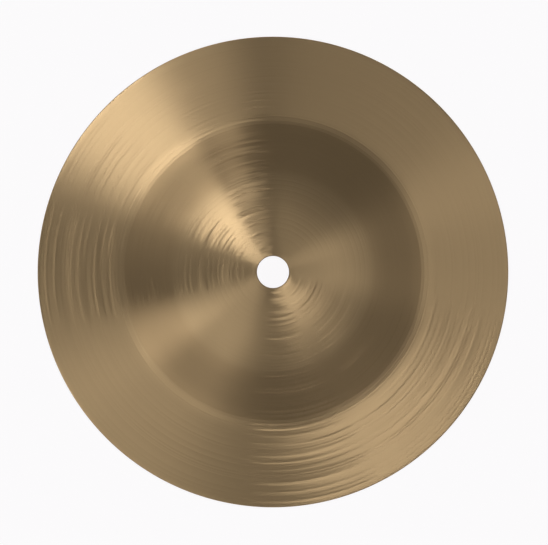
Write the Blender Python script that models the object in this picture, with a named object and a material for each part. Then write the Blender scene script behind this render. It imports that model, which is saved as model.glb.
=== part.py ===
"""Bell cymbal: a disc turned from one piece of cast bronze, with a tall domed bell and a shallow flange.

The top surface is a chain of arcs and straights that runs outwards and down from a flat land round the
centre hole. The underside follows it at the thickness of the metal. Tonal grooves, the shallow channels
that the turning tool leaves, are cut into both. The closed section is then spun about the z axis.
The disc stands on its rim at z = 0, with the crown of the bell on top.
"""

import math
import random

import bmesh
import bpy

# Driving sizes, in metres. Slopes are in degrees below the horizontal, going outwards.
DISC_DIAMETER = 0.1651
HOLE_DIAMETER = 0.0111
HOLE_CHAMFER = 0.0003
LAND_WIDTH = 0.0015
CROWN_ARC_RADIUS = 0.0805
WALL_SLOPE = 30.3
WALL_WIDTH = 0.0060
HEEL_ARC_RADIUS = 0.080
HEEL_TURN = 3.5
FOOT_ARC_RADIUS = 0.019
FLANGE_SLOPE = 9.0
BELL_THICKNESS = 0.0022
RIM_THICKNESS = 0.0016
RIM_EDGE_ROUND = 0.0005
EDGE_RADIUS = min(RIM_EDGE_ROUND, RIM_THICKNESS / 2)

# Tonal grooves. Each pitch is the mean width of a channel, and the widths vary about it.
GROOVE_DEPTH = 0.00009
GROOVE_MARGIN = 0.0018
TOP_GROOVE_PITCHES = {"crown": 0.0031, "flange": 0.0026}
INNER_GROOVE_PITCHES = {"crown": 0.0072, "flange": 0.0063}
WIDTH_VARIATION = 0.3
GROOVE_SEED = 11

# How finely the round forms are faceted: steps per turn, and the largest turn per facet in degrees.
SPIN_STEPS = 64
ARC_STEP = 4.4
EDGE_ARC_STEP = 45.0
SHARP_ANGLE = 20.0

BRONZE_COLOUR = (0.60, 0.42, 0.22, 1.0)
BRONZE_ROUGHNESS = 0.32


class Stretch:
    """One arc or straight of the top surface, with slopes in radians. Its bend is the arc's radius,
    negative where the surface is hollow and 0 where it is straight."""

    def __init__(self, inner, height, slope, bend, outer):
        self.inner = inner
        self.height = height
        self.slope = slope
        self.bend = bend
        self.outer = outer

    def at(self, radius):
        """Height and slope at a distance from the axis."""
        along = radius - self.inner
        if not self.bend:
            return self.height - along * math.tan(self.slope), self.slope
        slope = math.asin(math.sin(self.slope) + along / self.bend)
        return self.height - self.bend * (math.cos(self.slope) - math.cos(slope)), slope

    def stations(self):
        """Distances from the axis that facet the stretch, its inner end left out."""
        if not self.bend:
            return [self.outer]
        turn = self.at(self.outer)[1] - self.slope
        steps = max(1, math.ceil(abs(math.degrees(turn)) / ARC_STEP))
        slopes = [self.slope + turn * step / steps for step in range(1, steps + 1)]
        return [self.inner + self.bend * (math.sin(slope) - math.sin(self.slope)) for slope in slopes]


def arc_after(last, bend, end_slope):
    """The arc that goes on from a stretch without a corner until its slope is end_slope."""
    height, slope = last.at(last.outer)
    return Stretch(last.outer, height, slope, bend, last.outer + bend * (math.sin(end_slope) - math.sin(slope)))


def straight_after(last, outer):
    height, slope = last.at(last.outer)
    return Stretch(last.outer, height, slope, 0, outer)


def top_surface():
    """The stretches of the top, by name, outwards from the land, whose height is 0."""
    land_edge = HOLE_DIAMETER / 2 + HOLE_CHAMFER + LAND_WIDTH
    first_slope = math.asin(land_edge / CROWN_ARC_RADIUS)
    wall_slope, flange_slope = math.radians(WALL_SLOPE), math.radians(FLANGE_SLOPE)
    crown = Stretch(land_edge, 0, first_slope, CROWN_ARC_RADIUS, CROWN_ARC_RADIUS * math.sin(wall_slope))
    wall = straight_after(crown, crown.outer + WALL_WIDTH)
    heel = arc_after(wall, -HEEL_ARC_RADIUS, wall_slope - math.radians(HEEL_TURN))
    foot = arc_after(heel, -FOOT_ARC_RADIUS, flange_slope)
    flange = straight_after(foot, DISC_DIAMETER / 2 - EDGE_RADIUS * (1 - math.sin(flange_slope)))
    return {"crown": crown, "wall": wall, "heel": heel, "foot": foot, "flange": flange}


def groove_band(stretch, pitch, draw):
    """The channels that fit on a stretch inside its margins, as stations with the depth of the cut:
    crest, valley, crest and so on."""
    band = [(stretch.inner + GROOVE_MARGIN, 0)]
    while True:
        crest = band[-1][0]
        width = pitch * draw.uniform(1 - WIDTH_VARIATION, 1 + WIDTH_VARIATION)
        if crest + width > stretch.outer - GROOVE_MARGIN:
            return band
        band += [(crest + width / 2, GROOVE_DEPTH), (crest + width, 0)]


def cut_stations(surface, pitches, draw):
    """The stations of one face of the disc with the depth of the cut there, from the land's edge to the
    rim. The pitches are those of the stretches that have grooves."""
    cuts = []
    for name, stretch in surface.items():
        if name in pitches:
            cuts += groove_band(stretch, pitches[name], draw)
        reached = cuts[-1][0]
        cuts += [(radius, 0) for radius in stretch.stations() if radius > reached]
    return cuts


def point_below(surface, radius, depth):
    """The point at a depth under the top surface, square to it."""
    stretch = next(item for item in surface.values() if radius <= item.outer)
    height, slope = stretch.at(radius)
    return (radius - depth * math.sin(slope), height - depth * math.cos(slope))


def thickness(surface, radius):
    """The bell is of one thickness, and the flange thins evenly to the rim."""
    flange = surface["flange"]
    share = max(0, (radius - flange.inner) / (flange.outer - flange.inner))
    return BELL_THICKNESS + (RIM_THICKNESS - BELL_THICKNESS) * share


def edge_arc(start, slope_from, slope_to):
    """Points after start round a convex edge, with slopes in degrees: past 90 it runs back inwards."""
    steps = max(1, math.ceil((slope_to - slope_from) / EDGE_ARC_STEP))
    first = math.radians(slope_from)
    points = []
    for step in range(1, steps + 1):
        slope = math.radians(slope_from + (slope_to - slope_from) * step / steps)
        across = EDGE_RADIUS * (math.sin(slope) - math.sin(first))
        down = EDGE_RADIUS * (math.cos(first) - math.cos(slope))
        points.append((start[0] + across, start[1] - down))
    return points


def rim(start):
    """The rim, from the top of the flange round two edges with a flat between them to the lowest point.
    The underside's first point then closes the second edge."""
    square = FLANGE_SLOPE + 90
    points = edge_arc(start, FLANGE_SLOPE, 90)
    points += edge_arc(points[-1], 90, square)
    flat = RIM_THICKNESS - 2 * EDGE_RADIUS
    angle = math.radians(FLANGE_SLOPE)
    points.append((points[-1][0] - flat * math.sin(angle), points[-1][1] - flat * math.cos(angle)))
    return points + edge_arc(points[-1], square, 180)


def section():
    """The closed section as (distance from the axis, height): out along the top, round the rim and
    back along the underside to the hole."""
    surface = top_surface()
    draw = random.Random(GROOVE_SEED)
    hole = HOLE_DIAMETER / 2
    land_edge = surface["crown"].inner
    outline = [(hole, -HOLE_CHAMFER), (hole + HOLE_CHAMFER, 0), (land_edge, 0)]
    for radius, cut in cut_stations(surface, TOP_GROOVE_PITCHES, draw):
        outline.append(point_below(surface, radius, cut))
    outline += rim(outline[-1])

    for radius, cut in reversed(cut_stations(surface, INNER_GROOVE_PITCHES, draw)):
        outline.append(point_below(surface, radius, thickness(surface, radius) - cut))
    # The land's lower edge lies where the flat and the dome, both at the bell's thickness, meet.
    inner_edge = land_edge - BELL_THICKNESS * math.tan(surface["crown"].slope / 2)
    outline.append((inner_edge, -BELL_THICKNESS))
    outline += [(hole + HOLE_CHAMFER, -BELL_THICKNESS), (hole, HOLE_CHAMFER - BELL_THICKNESS)]
    lowest = min(height for _, height in outline)
    return [(radius, height - lowest) for radius, height in outline]


def bronze():
    material = bpy.data.materials.new("bronze")
    material.use_nodes = True
    shader = material.node_tree.nodes["Principled BSDF"]
    shader.inputs["Base Color"].default_value = BRONZE_COLOUR
    shader.inputs["Metallic"].default_value = 1.0
    shader.inputs["Roughness"].default_value = BRONZE_ROUGHNESS
    material.diffuse_color = BRONZE_COLOUR
    return material


def cymbal():
    """The section spun a full turn about the z axis."""
    form = bmesh.new()
    ring = [form.verts.new((radius, 0, height)) for radius, height in section()]
    edges = [form.edges.new(pair) for pair in zip(ring, ring[1:] + ring[:1])]
    bmesh.ops.spin(form, geom=ring + edges, cent=(0, 0, 0), axis=(0, 0, 1),
                   angle=math.tau, steps=SPIN_STEPS, use_merge=True)
    bmesh.ops.recalc_face_normals(form, faces=form.faces)
    mesh = bpy.data.meshes.new("cymbal")
    form.to_mesh(mesh)
    form.free()
    mesh.shade_smooth()
    mesh.set_sharp_from_angle(angle=math.radians(SHARP_ANGLE))
    mesh.materials.append(bronze())
    disc = bpy.data.objects.new("cymbal", mesh)
    bpy.context.collection.objects.link(disc)
    return disc


for item in list(bpy.data.objects):
    bpy.data.objects.remove(item, do_unlink=True)
cymbal()
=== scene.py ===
"""Looks of the bell cymbal: the lathe-turned bronze disc, seen from straight above in soft studio light.

The disc is turned from the same section as the solid model, with many more and finer tonal grooves, and
its bronze shines as turned metal does: the highlights fan out across the grooves.
"""

import math
import random

import bpy
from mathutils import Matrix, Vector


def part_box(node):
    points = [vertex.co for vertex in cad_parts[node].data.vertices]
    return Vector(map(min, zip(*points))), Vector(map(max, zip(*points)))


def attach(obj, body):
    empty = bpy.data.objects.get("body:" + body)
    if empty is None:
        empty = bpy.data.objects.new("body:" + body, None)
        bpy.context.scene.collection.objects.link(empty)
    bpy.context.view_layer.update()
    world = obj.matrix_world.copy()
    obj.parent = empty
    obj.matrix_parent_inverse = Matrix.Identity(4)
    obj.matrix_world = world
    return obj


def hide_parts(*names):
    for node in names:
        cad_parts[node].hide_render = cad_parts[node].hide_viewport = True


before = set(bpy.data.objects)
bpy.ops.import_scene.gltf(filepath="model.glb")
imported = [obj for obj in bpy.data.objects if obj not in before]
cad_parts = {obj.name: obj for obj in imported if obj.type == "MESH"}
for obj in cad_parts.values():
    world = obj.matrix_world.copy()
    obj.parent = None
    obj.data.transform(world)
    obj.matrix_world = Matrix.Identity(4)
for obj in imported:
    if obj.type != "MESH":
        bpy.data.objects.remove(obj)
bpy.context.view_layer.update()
disc_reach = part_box("cymbal")[1]

# The section, in metres, with slopes in degrees below the horizontal going outwards.
DISC_RADIUS = disc_reach.x
LAND_HEIGHT = disc_reach.z
HOLE_RADIUS = 0.00555
HOLE_CHAMFER = 0.0003
LAND_WIDTH = 0.0015
CROWN_ARC_RADIUS = 0.0805
WALL_SLOPE = 30.3
WALL_WIDTH = 0.0060
HEEL_ARC_RADIUS = 0.080
HEEL_TURN = 3.5
FOOT_ARC_RADIUS = 0.019
FLANGE_SLOPE = 9.0
BELL_THICKNESS = 0.0022
RIM_THICKNESS = 0.0016
EDGE_RADIUS = 0.0005

# How many steps the section is spun in, how finely its arcs are faceted, and the angle from which an
# edge is shown sharp, the last three in degrees.
SEGMENTS = 224
ARC_STEP = 1.2
EDGE_ARC_STEP = 15.0
SHARP_ANGLE = 25

MILLIMETRES_PER_METRE = 1000.0

# The most plainly seen tonal grooves of the top, as distances from the axis in millimetres, and those of
# them along which the tool dragged the metal the other way.
PLAIN_GROOVES_MM = (
    12.5, 15.6, 17.5, 19.1, 21.1, 22.3, 25.7, 28.9, 30.6, 32.2, 57.0, 58.1, 60.3, 62.5, 63.6,
    66.4, 68.4, 70.8, 71.8, 73.5, 76.9, 78.7, 80.1,
)
BACKWARD_GROOVES_MM = (58.1, 60.3, 63.6)
# The finer ones close together at the foot of the bell, as (distance, width, depth, lean), with the first
# three in millimetres.
FOOT_GROOVES_MM = (
    (51.9, 0.6, 0.020, 0.5), (53.0, 0.5, 0.022, 0.5), (53.55, 0.5, 0.002, -1.6), (54.5, 0.8, 0.042, 0.6),
    (55.3, 0.7, 0.010, -0.9),
)
# The ranges in metres that the other widths and depths are drawn from, and those of the leans.
PLAIN_WIDTHS = (0.0006, 0.0010)
PLAIN_DEPTHS = (0.000010, 0.000016)
PLAIN_LEANS = (0.5, 1.0)
FAINT_WIDTHS = (0.0005, 0.0011)
FAINT_DEPTHS = (0.000004, 0.000008)
FAINT_LEANS = (-0.6, 0.3)
# How far a step from one faint groove to the next may go past its width, on the top and on the underside,
# in metres, and the range of the share of it that each step is drawn from.
TOP_GAP = 0.0016
UNDER_GAP = 0.0040
GAP_SHARES = (0.1, 1.0)
# How far past the edge of the land and before the rim the faint grooves start and end, in metres.
LAND_MARGIN = 0.0006
RIM_MARGIN = 0.0008
GROOVE_SEED = 5
LEAN_SEED = 1
# A groove's stations, as a share of its width from its centre, with the shares of its depth and lean
# there, and the share of its width, on each side of its centre, that the other stations leave to it.
GROOVE_FORM = ((-0.5, 0, 0), (-0.25, 0.5, 1), (0, 1, 1), (0.25, 0.5, 1), (0.5, 0, 0))
GROOVE_ROOM = 0.6

# The parts of the turn where the tool wavered, as (azimuth, half width, strength on the dome, at its foot
# and on the flange), with the angles in degrees. Each fades out over a share of its half width on both
# sides of its end, and all round there is a trace of wavering.
WAVERING = (
    (106.5, 14, 1.9, -0.5, 0.35),
    (146.5, 10.5, 0.85, -0.4, 0.28),
    (179, 15, 0.9, 0.5, 1.1),
    (279, 17, -1.1, -1.2, -0.95),
    (326, 21, -1.1, -0.6, -0.8),
)
WAVERING_FADE = 0.35
WAVERING_TRACE = 0.05

# Where one zone of the top gives way to the next: the distances from the axis, in millimetres, at which
# the share that the name says is 0 and 1. The dome's share falls to a lower one past the crown.
PAST_DOME_MM = (48.0, 51.0)
ON_FLANGE_MM = (55.3, 56.3)
ON_CROWN_MM = (38.0, 31.0)
PAST_CROWN_SHARE = 0.6
ON_WALL_MM = (33.0, 37.0)
BEFORE_FOOT_MM = (53.0, 51.5)

# Noise along the turning, as its steps per millimetre outwards, the radius in steps of the circle that a
# full turn makes in it, and its detail.
MARK_NOISE = (2.5, 6.0, 2.0)
LEAN_NOISE = (1.25, 0.6, 2.0)
DRAG_NOISE = (0.35, 0.9, 1.0)
LINE_NOISE = (1.6, 0.8, 1.0)
NOISE_ROUGHNESS = 0.6
NOISE_MIDDLE = 0.5
# The levels of the noise at which the drag and the thin lines of painted shade set in, and at which they
# are full.
DRAG_LEVELS = (0.25, 0.65)
LINE_LEVELS = (0.58, 0.7)

# The metal. The tool marks lean and lift the surface, and a dragged groove leans more and is rougher.
BRONZE = (0.45, 0.317, 0.171, 1.0)
# A darker colour: real tarnish in random clouds, and painted shade on the bell's wall and in thin lines.
TARNISH_AND_SHADE = (0.36, 0.245, 0.127, 1.0)
# The share of the darker colour painted into thin lines across the highlights where the tool wavered:
# painted shade.
LINE_PAINTED_SHADE = 0.35
# The share of the darker colour painted on the bell's steep wall: painted shade.
WALL_PAINTED_SHADE = 0.45
CLOUD_TARNISH = 0.16
CLOUD_SCALE = 22.0
CLOUD_DETAIL = 2.0
ROUGHNESS = 0.276
GROOVE_BURR = 0.20
GROOVE_LEAN = 0.065
MARK_LEAN = 0.14
MARK_HEIGHT = 0.0008
BUMP_DISTANCE = 0.001
# How far a highlight is stretched, and the part of a turn that lays it across the grooves.
STRETCH = 1.0
STRETCH_TURN = 0.25

# The softboxes of the studio, as (across, up, width, depth, turn, radiance). They are painted on the far
# world where a ceiling 1 m above the disc would show them. Across and up are metres in the picture's
# directions, and the turn is in degrees. The values were fitted to the photograph's shading and rounded.
SOFTBOXES = {
    "key": (-0.45, 0.47, 0.18, 0.42, -16, 12.2),
    "strip": (0.13, -0.20, 0.12, 0.28, -31, 7.0),
    "right": (0.61, 0.05, 0.42, 0.54, 20, 1.53),
    "fill": (0.18, 0.35, 0.12, 0.50, 42, 2.27),
    "left": (-0.68, -0.76, 0.92, 1.20, -44, 1.11),
    "left_low": (-1.64, -0.78, 0.88, 0.46, -23, 3.38),
    "slit": (-0.11, -0.05, 0.04, 0.22, 3, 4.64),
    "far": (-0.37, 1.10, 0.26, 1.22, 21, 1.14),
    "side": (-1.75, 0.72, 2.02, 0.80, -41, 0.53),
}
SOFTBOX_EDGE = 0.5
# The angles from straight up, in degrees, between which the ceiling gives way to the wall.
WALL_START = (72.0, 88.0)
WALL_LEVEL = 0.40
CEILING_LEVEL = 0.06
WHITE = (1.0, 1.0, 1.0, 1.0)
PAPER_WHITE = (1.0, 0.99, 1.0, 1.0)
FLOOR_SIZE = 12.0
FLOOR_GREY = (0.8, 0.8, 0.8, 1.0)
FLOOR_ROUGHNESS = 0.9
FLOOR_GLOSS = 0.1
FLOOR_WHITENESS = 0.94

# The photograph's frame, in its pixels: 548 wide and 545 high, with the rim as a circle round this point.
FRAME_WIDTH = 548
FRAME_HEIGHT = 545
RIM_CENTRE = (272.98, 272.01)
RIM_RADIUS = 235.45
# The camera's height above the rim in metres, and the width of its sensor in millimetres.
CAMERA_HEIGHT = 1.8
SENSOR_WIDTH = 36.0


class Stretch:
    """One arc or straight of the top surface, with slopes in radians. Its bend is the arc's radius,
    negative where the surface is hollow and 0 where it is straight."""

    def __init__(self, inner, height, slope, bend, outer):
        self.inner = inner
        self.height = height
        self.slope = slope
        self.bend = bend
        self.outer = outer

    def at(self, radius):
        """Height and slope at a distance from the axis."""
        along = radius - self.inner
        if not self.bend:
            return self.height - along * math.tan(self.slope), self.slope
        slope = math.asin(math.sin(self.slope) + along / self.bend)
        return self.height - self.bend * (math.cos(self.slope) - math.cos(slope)), slope

    def stations(self):
        """Distances from the axis that facet the stretch, its inner end left out."""
        if not self.bend:
            return [self.outer]
        turn = self.at(self.outer)[1] - self.slope
        steps = max(1, math.ceil(abs(math.degrees(turn)) / ARC_STEP))
        slopes = [self.slope + turn * step / steps for step in range(1, steps + 1)]
        return [self.inner + self.bend * (math.sin(slope) - math.sin(self.slope)) for slope in slopes]


def arc_after(last, bend, end_slope):
    """An arc that carries on smoothly from the last stretch until it has the end slope."""
    height, slope = last.at(last.outer)
    outer = last.outer + bend * (math.sin(end_slope) - math.sin(slope))
    return Stretch(last.outer, height, slope, bend, outer)


def straight_after(last, outer):
    """A straight that carries on at the last stretch's slope, out to a distance from the axis."""
    height, slope = last.at(last.outer)
    return Stretch(last.outer, height, slope, 0, outer)


def top_surface():
    """The stretches of the top, by name, outwards from the land, whose height is 0."""
    land_edge = HOLE_RADIUS + HOLE_CHAMFER + LAND_WIDTH
    first_slope = math.asin(land_edge / CROWN_ARC_RADIUS)
    wall_slope, flange_slope = math.radians(WALL_SLOPE), math.radians(FLANGE_SLOPE)
    crown = Stretch(land_edge, 0, first_slope, CROWN_ARC_RADIUS, CROWN_ARC_RADIUS * math.sin(wall_slope))
    wall = straight_after(crown, crown.outer + WALL_WIDTH)
    heel = arc_after(wall, -HEEL_ARC_RADIUS, wall_slope - math.radians(HEEL_TURN))
    foot = arc_after(heel, -FOOT_ARC_RADIUS, flange_slope)
    flange = straight_after(foot, DISC_RADIUS - EDGE_RADIUS * (1 - math.sin(flange_slope)))
    return {"crown": crown, "wall": wall, "heel": heel, "foot": foot, "flange": flange}


def point_below(surface, radius, depth):
    """The point at a depth under the top surface, square to it."""
    stretch = next(item for item in surface.values() if radius <= item.outer)
    height, slope = stretch.at(radius)
    return (radius - depth * math.sin(slope), height - depth * math.cos(slope))


def thickness(surface, radius):
    """The bell is of one thickness, and the flange thins evenly to the rim."""
    flange = surface["flange"]
    share = max(0, (radius - flange.inner) / (flange.outer - flange.inner))
    return BELL_THICKNESS + (RIM_THICKNESS - BELL_THICKNESS) * share


def in_metres(distances):
    """Distances that are given in millimetres, in metres."""
    return [distance / MILLIMETRES_PER_METRE for distance in distances]


def top_grooves(draw, leans):
    """The foot's grooves and the plain ones of the top, as (centre, width, depth, lean). The lean says
    which way along the groove the tool dragged the metal, and how far."""
    made = [(*in_metres(sizes), lean) for *sizes, lean in FOOT_GROOVES_MM]
    backward = in_metres(BACKWARD_GROOVES_MM)
    for radius in in_metres(PLAIN_GROOVES_MM):
        lean = leans.uniform(*PLAIN_LEANS) * (-1 if radius in backward else 1)
        made.append((radius, draw.uniform(*PLAIN_WIDTHS), draw.uniform(*PLAIN_DEPTHS), lean))
    return made


def with_faint_grooves(surface, made, draw, leans, gap):
    """The grooves that are made and fainter ones drawn between them, outwards."""
    place, outer = surface["crown"].inner + LAND_MARGIN, surface["flange"].outer - RIM_MARGIN
    made = list(made)
    while place < outer:
        width = draw.uniform(*FAINT_WIDTHS)
        clear = all(abs(place - centre) > (width + other) / 2 for centre, other, _, _ in made)
        if clear and place + width / 2 < outer:
            made.append((place, width, draw.uniform(*FAINT_DEPTHS), leans.uniform(*FAINT_LEANS)))
        place += width + draw.uniform(*GAP_SHARES) * gap
    return sorted(made)


def cut_stations(surface, cuts):
    """The stations of one face, outwards from the land's edge, with the depth and lean of the cut there."""
    stations = []
    for stretch in surface.values():
        for radius in stretch.stations():
            if all(abs(radius - centre) > GROOVE_ROOM * width for centre, width, _, _ in cuts):
                stations.append((radius, 0, 0))
    for centre, width, depth, lean in cuts:
        for place, depth_share, lean_share in GROOVE_FORM:
            stations.append((centre + place * width, depth_share * depth, lean_share * lean))
    return sorted(stations)


def edge_arc(start, slope_from, slope_to):
    """Points after start round a convex edge, with slopes in degrees: past 90 it runs back inwards."""
    steps = max(1, math.ceil((slope_to - slope_from) / EDGE_ARC_STEP))
    first = math.radians(slope_from)
    points = []
    for step in range(1, steps + 1):
        slope = math.radians(slope_from + (slope_to - slope_from) * step / steps)
        across = EDGE_RADIUS * (math.sin(slope) - math.sin(first))
        down = EDGE_RADIUS * (math.cos(first) - math.cos(slope))
        points.append((start[0] + across, start[1] - down))
    return points


def rim(start):
    """The rim, from the top of the flange round two edges with a flat between them to its underside."""
    square = FLANGE_SLOPE + 90
    points = edge_arc(start, FLANGE_SLOPE, 90)
    points += edge_arc(points[-1], 90, square)
    flat = RIM_THICKNESS - 2 * EDGE_RADIUS
    angle = math.radians(FLANGE_SLOPE)
    points.append((points[-1][0] - flat * math.sin(angle), points[-1][1] - flat * math.cos(angle)))
    return points + edge_arc(points[-1], square, 180)


def section():
    """The closed section as (distance from the axis, height), with the lean of each of its points: out
    along the top, round the rim and back along the underside to the hole."""
    surface = top_surface()
    land_edge = surface["crown"].inner
    draw, leans = random.Random(GROOVE_SEED), random.Random(LEAN_SEED)
    top_cuts = with_faint_grooves(surface, top_grooves(draw, leans), draw, leans, TOP_GAP)
    under_cuts = with_faint_grooves(surface, [], draw, leans, UNDER_GAP)
    lean_at = {}
    outline = [(HOLE_RADIUS, -HOLE_CHAMFER), (HOLE_RADIUS + HOLE_CHAMFER, 0), (land_edge, 0)]
    for radius, cut, lean in cut_stations(surface, top_cuts):
        lean_at[len(outline)] = lean
        outline.append(point_below(surface, radius, cut))
    outline += rim(outline[-1])
    for radius, cut, lean in reversed(cut_stations(surface, under_cuts)):
        lean_at[len(outline)] = lean
        outline.append(point_below(surface, radius, thickness(surface, radius) - cut))
    inner_edge = land_edge - BELL_THICKNESS * math.tan(surface["crown"].slope / 2)
    outline.append((inner_edge, -BELL_THICKNESS))
    outline.append((HOLE_RADIUS + HOLE_CHAMFER, -BELL_THICKNESS))
    outline.append((HOLE_RADIUS, HOLE_CHAMFER - BELL_THICKNESS))
    leaning_points = [lean_at.get(place, 0) for place in range(len(outline))]
    return [(radius, height + LAND_HEIGHT) for radius, height in outline], leaning_points


def spin(outline):
    """The points and the faces of the section spun round the axis."""
    count = len(outline)
    vertices, faces = [], []
    for turn in range(SEGMENTS):
        angle = math.tau * turn / SEGMENTS
        for radius, height in outline:
            vertices.append((radius * math.cos(angle), radius * math.sin(angle), height))
        this, after = turn * count, (turn + 1) % SEGMENTS * count
        for place in range(count):
            following = (place + 1) % count
            faces.append((this + place, this + following, after + following, after + place))
    return vertices, faces


def map_disc(mesh, outline):
    """A map of the spun section, with the angle across it and the place along the section up it."""
    count = len(outline)
    lengths = [0]
    for place in range(count):
        lengths.append(lengths[-1] + math.dist(outline[place], outline[(place + 1) % count]))
    polar = mesh.uv_layers.new(name="OFBake")
    corner = 0
    for turn in range(SEGMENTS):
        across = (turn / SEGMENTS, (turn + 1) / SEGMENTS)
        for place in range(count):
            along = (lengths[place] / lengths[-1], lengths[place + 1] / lengths[-1])
            for side, end in ((0, 0), (0, 1), (1, 1), (1, 0)):
                polar.data[corner].uv = (across[side], along[end])
                corner += 1


def turned_disc():
    """The disc, whose mesh carries the leans of its grooves for the material."""
    outline, leans = section()
    vertices, faces = spin(outline)
    mesh = bpy.data.meshes.new("bronze_disc")
    mesh.from_pydata(vertices, [], faces)
    mesh.attributes.new("groove_lean", "FLOAT", "POINT").data.foreach_set("value", leans * SEGMENTS)
    map_disc(mesh, outline)
    mesh.shade_smooth()
    mesh.set_sharp_from_angle(angle=math.radians(SHARP_ANGLE))
    disc = bpy.data.objects.new("bronze_disc", mesh)
    bpy.context.collection.objects.link(disc)
    return disc


class Graph:
    """The nodes of a material or a world, added and linked by short calls."""

    def __init__(self, tree):
        self.tree = tree

    def node(self, kind, inputs=(), **settings):
        """A new node. Each of its inputs is a value to set or another node's socket to link."""
        item = self.tree.nodes.new(kind)
        for name, value in settings.items():
            setattr(item, name, value)
        for key, value in dict(inputs).items():
            if isinstance(value, bpy.types.NodeSocket):
                self.tree.links.new(value, item.inputs[key])
            else:
                item.inputs[key].default_value = value
        return item

    def math(self, operation, *values):
        """The outcome of one operation on numbers or sockets."""
        return self.node("ShaderNodeMath", dict(enumerate(values)), operation=operation).outputs[0]


def ring_coordinates(graph):
    """Distance from the axis in millimetres, and the direction as cosine and sine."""
    place = graph.node("ShaderNodeTexCoord").outputs["Object"]
    parts = graph.node("ShaderNodeSeparateXYZ", {"Vector": place})
    x, y = parts.outputs["X"], parts.outputs["Y"]
    squares = graph.math("ADD", graph.math("MULTIPLY", x, x), graph.math("MULTIPLY", y, y))
    radius = graph.math("SQRT", squares)
    return (graph.math("MULTIPLY", radius, MILLIMETRES_PER_METRE), graph.math("DIVIDE", x, radius),
            graph.math("DIVIDE", y, radius))


def ring_noise(graph, rings, per_millimetre, turn_radius, detail):
    """Noise drawn out along the turning: fine across the grooves, slow round the axis."""
    radius, cosine, sine = rings
    place = graph.node("ShaderNodeCombineXYZ", {
        "X": graph.math("MULTIPLY", radius, per_millimetre),
        "Y": graph.math("MULTIPLY", cosine, turn_radius),
        "Z": graph.math("MULTIPLY", sine, turn_radius)})
    noise = graph.node("ShaderNodeTexNoise", {
        "Vector": place.outputs[0], "Scale": 1.0, "Detail": detail, "Roughness": NOISE_ROUGHNESS})
    return noise.outputs[0]


def ramp(graph, value, start, end):
    """A share that is 0 up to the start and 1 from the end on, and smooth between them. The start may be
    the larger of the two."""
    return graph.node("ShaderNodeMapRange", {"Value": value, "From Min": start, "From Max": end},
                      interpolation_type="SMOOTHSTEP").outputs[0]


def zones(graph, radius):
    """The shares of the dome, of its foot and of the flange at a distance from the axis."""
    past_dome, on_flange = ramp(graph, radius, *PAST_DOME_MM), ramp(graph, radius, *ON_FLANGE_MM)
    past_crown = graph.math("MULTIPLY", graph.math("SUBTRACT", 1.0, past_dome), PAST_CROWN_SHARE)
    on_dome = graph.math("MAXIMUM", ramp(graph, radius, *ON_CROWN_MM), past_crown)
    return on_dome, graph.math("SUBTRACT", past_dome, on_flange), on_flange


def wavering(graph, rings, on_dome, on_foot, on_flange):
    """How much the tool wavered at a place, and which way."""
    _, cosine, sine = rings
    azimuth = graph.math("DEGREES", graph.math("ARCTAN2", sine, cosine))
    level = WAVERING_TRACE
    for middle, half_width, dome, foot, flange in WAVERING:
        aside = graph.math("WRAP", graph.math("SUBTRACT", azimuth, middle), 180.0, -180.0)
        share = ramp(graph, graph.math("ABSOLUTE", aside),
                     half_width * (1 + WAVERING_FADE), half_width * (1 - WAVERING_FADE))
        strength = graph.math("MULTIPLY", on_dome, dome)
        strength = graph.math("ADD", strength, graph.math("MULTIPLY", on_foot, foot))
        strength = graph.math("ADD", strength, graph.math("MULTIPLY", on_flange, flange))
        level = graph.math("ADD", graph.math("MULTIPLY", share, strength), level)
    return level


def dragged(graph, rings, wavered):
    """How far the groove at a place was dragged there: the lean that the mesh gives it, where the tool
    wavered."""
    strength = ramp(graph, ring_noise(graph, rings, *DRAG_NOISE), *DRAG_LEVELS)
    lean = graph.node("ShaderNodeAttribute", attribute_name="groove_lean").outputs["Fac"]
    return graph.math("MULTIPLY", graph.math("MULTIPLY", lean, strength), wavered)


def leaning(graph, rings, around, normal, wavered, drag):
    """The normal leaning sideways along the tool marks, a little and differently from groove to groove:
    this is what breaks the edge of a highlight into fine steps."""
    lean = graph.math("SUBTRACT", ring_noise(graph, rings, *LEAN_NOISE), NOISE_MIDDLE)
    lean = graph.math("MULTIPLY", graph.math("MULTIPLY", lean, wavered), MARK_LEAN)
    lean = graph.math("ADD", lean, graph.math("MULTIPLY", drag, GROOVE_LEAN))
    aside = graph.node("ShaderNodeVectorMath", {0: around, "Scale": lean}, operation="SCALE").outputs[0]
    tilted = graph.node("ShaderNodeVectorMath", {0: normal, 1: aside}, operation="ADD").outputs[0]
    return graph.node("ShaderNodeVectorMath", {0: tilted}, operation="NORMALIZE").outputs[0]


def tone(graph, rings, wavered):
    """Bronze with a breath of tarnish at random, and painted shade in the same darker colour on the bell's
    wall and in thin lines where the tool wavered."""
    # Thin lines of painted shade, darker in the colour where the highlights' edges fall.
    lines = ramp(graph, ring_noise(graph, rings, *LINE_NOISE), *LINE_LEVELS)
    lines = graph.math("MULTIPLY", lines, graph.math("ABSOLUTE", wavered))
    lines = graph.math("MULTIPLY", lines, LINE_PAINTED_SHADE)
    place = graph.node("ShaderNodeTexCoord").outputs["Object"]
    clouds = graph.node("ShaderNodeTexNoise", {
        "Vector": place, "Scale": CLOUD_SCALE, "Detail": CLOUD_DETAIL}).outputs[0]
    # Painted shade on the bell's steep wall, darker in the colour there.
    wall = ramp(graph, rings[0], *ON_WALL_MM)
    wall = graph.math("MULTIPLY", wall, ramp(graph, rings[0], *BEFORE_FOOT_MM))
    share = graph.math("ADD", graph.math("MULTIPLY", clouds, CLOUD_TARNISH), lines)
    share = graph.math("ADD", share, graph.math("MULTIPLY", wall, WALL_PAINTED_SHADE))
    # A colour mix has its colours in sockets 6 and 7, and its result in the third output.
    return graph.node("ShaderNodeMix", {0: share, 6: BRONZE, 7: TARNISH_AND_SHADE}, data_type="RGBA").outputs[2]


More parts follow.
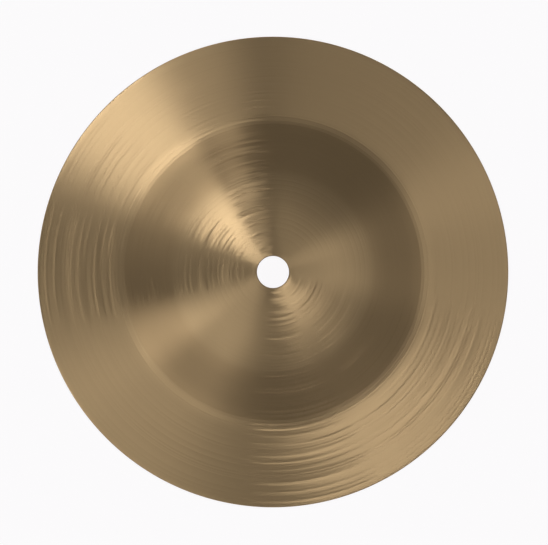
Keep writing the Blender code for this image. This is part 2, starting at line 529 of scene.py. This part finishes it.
def turned_bronze():
    """Bronze with stretched highlights, fine tool marks and dragged grooves. The foot's grooves lie too
    close together for a burr of their own."""
    material = bpy.data.materials.new("turned_bronze")
    material.use_nodes = True
    graph = Graph(material.node_tree)
    shader = material.node_tree.nodes["Principled BSDF"]
    shader.inputs["Metallic"].default_value = 1.0
    shader.inputs["Anisotropic"].default_value = STRETCH
    shader.inputs["Anisotropic Rotation"].default_value = STRETCH_TURN
    rings = ring_coordinates(graph)
    on_dome, on_foot, on_flange = zones(graph, rings[0])
    wavered = wavering(graph, rings, on_dome, on_foot, on_flange)
    drag = dragged(graph, rings, wavered)
    burr = graph.math("MULTIPLY", graph.math("ABSOLUTE", drag), GROOVE_BURR)
    burr = graph.math("MULTIPLY", burr, graph.math("SUBTRACT", 1.0, on_foot))
    around = graph.node("ShaderNodeTangent", direction_type="RADIAL", axis="Z").outputs[0]
    marks = graph.math("MULTIPLY", ring_noise(graph, rings, *MARK_NOISE), MARK_HEIGHT)
    bump = graph.node("ShaderNodeBump", {"Height": marks, "Strength": 1.0, "Distance": BUMP_DISTANCE})
    normal = leaning(graph, rings, around, bump.outputs[0], wavered, drag)
    graph.tree.links.new(graph.math("ADD", burr, ROUGHNESS), shader.inputs["Roughness"])
    graph.tree.links.new(tone(graph, rings, wavered), shader.inputs["Base Color"])
    graph.tree.links.new(around, shader.inputs["Tangent"])
    graph.tree.links.new(normal, shader.inputs["Normal"])
    return material


def floor():
    """A pale floor that the camera sees as near white, with a trace of the light that falls on it."""
    bpy.ops.mesh.primitive_plane_add(size=FLOOR_SIZE, location=(0, 0, 0))
    plane = bpy.context.object
    plane.name = "floor"
    material = bpy.data.materials.new("pale_floor")
    material.use_nodes = True
    graph = Graph(material.node_tree)
    matte = material.node_tree.nodes["Principled BSDF"]
    matte.inputs["Base Color"].default_value = FLOOR_GREY
    matte.inputs["Roughness"].default_value = FLOOR_ROUGHNESS
    matte.inputs["Specular IOR Level"].default_value = FLOOR_GLOSS
    glow = graph.node("ShaderNodeEmission", {"Color": PAPER_WHITE, "Strength": 1.0})
    path = graph.node("ShaderNodeLightPath")
    seen = graph.math("MAXIMUM", path.outputs["Is Camera Ray"], path.outputs["Is Glossy Ray"])
    seen = graph.math("MAXIMUM", seen, path.outputs["Is Transmission Ray"])
    share = graph.math("MULTIPLY", seen, FLOOR_WHITENESS)
    mixed = graph.node("ShaderNodeMixShader", {0: share, 1: matte.outputs[0], 2: glow.outputs[0]})
    output = material.node_tree.nodes["Material Output"]
    graph.tree.links.new(mixed.outputs[0], output.inputs["Surface"])
    plane.data.materials.append(material)
    return plane


def softbox(graph, ceiling, across, up, width, depth, turn, radiance):
    """A lamp that is brightest in its middle and fades at its edges."""
    cosine, sine = math.cos(math.radians(turn)), math.sin(math.radians(turn))
    level = radiance
    for along, square, size in ((cosine, sine, width), (-sine, cosine, depth)):
        place = graph.math("ADD", graph.math("MULTIPLY", ceiling[0], along),
                           graph.math("MULTIPLY", ceiling[1], square))
        place = graph.math("SUBTRACT", place, across * along + up * square)
        share = graph.math("DIVIDE", graph.math("ABSOLUTE", place), size / 2)
        level = graph.math("MULTIPLY", ramp(graph, share, 1 + SOFTBOX_EDGE, 1 - SOFTBOX_EDGE), level)
    return level


def light_studio():
    """Softboxes in a dim ceiling, above a pale wall all round."""
    world = bpy.data.worlds.new("studio")
    world.use_nodes = True
    graph = Graph(world.node_tree)
    direction = graph.node("ShaderNodeTexCoord").outputs["Generated"]
    x, y, z = graph.node("ShaderNodeSeparateXYZ", {"Vector": direction}).outputs
    ceiling = (graph.math("DIVIDE", x, z), graph.math("DIVIDE", y, z))
    lamps = 0.0
    for lamp in SOFTBOXES.values():
        lamps = graph.math("ADD", softbox(graph, ceiling, *lamp), lamps)
    lamps = graph.math("MULTIPLY", lamps, graph.math("GREATER_THAN", z, 0.0))
    wall = ramp(graph, graph.math("DEGREES", graph.math("ARCCOSINE", z)), *WALL_START)
    level = graph.math("ADD", graph.math("MULTIPLY", wall, WALL_LEVEL - CEILING_LEVEL), CEILING_LEVEL)
    backdrop = world.node_tree.nodes["Background"]
    backdrop.inputs["Color"].default_value = WHITE
    graph.tree.links.new(graph.math("ADD", level, lamps), backdrop.inputs["Strength"])
    paper = graph.node("ShaderNodeBackground", {"Color": PAPER_WHITE, "Strength": 1.0})
    mixed = graph.node("ShaderNodeMixShader", {
        0: graph.node("ShaderNodeLightPath").outputs["Is Camera Ray"],
        1: backdrop.outputs[0], 2: paper.outputs[0]})
    graph.tree.links.new(mixed.outputs[0], world.node_tree.nodes["World Output"].inputs["Surface"])
    bpy.context.scene.world = world


def overhead_camera():
    """A long lens straight above the disc, which frames the rim as the photograph does."""
    metres_per_pixel = DISC_RADIUS / RIM_RADIUS
    lens = bpy.data.cameras.new("overhead")
    lens.sensor_fit = "HORIZONTAL"
    lens.sensor_width = SENSOR_WIDTH
    lens.lens = SENSOR_WIDTH * CAMERA_HEIGHT / (FRAME_WIDTH * metres_per_pixel)
    camera = bpy.data.objects.new("overhead", lens)
    across = (FRAME_WIDTH / 2 - RIM_CENTRE[0]) * metres_per_pixel
    down = (FRAME_HEIGHT / 2 - RIM_CENTRE[1]) * metres_per_pixel
    camera.location = (across, -down, CAMERA_HEIGHT + RIM_THICKNESS)
    bpy.context.collection.objects.link(camera)
    bpy.context.scene.camera = camera


overhead_camera()
disc = turned_disc()
disc.data.materials.append(turned_bronze())
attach(disc, "root")
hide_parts("cymbal")
floor()
light_studio()
bpy.context.scene.view_settings.view_transform = "Standard"
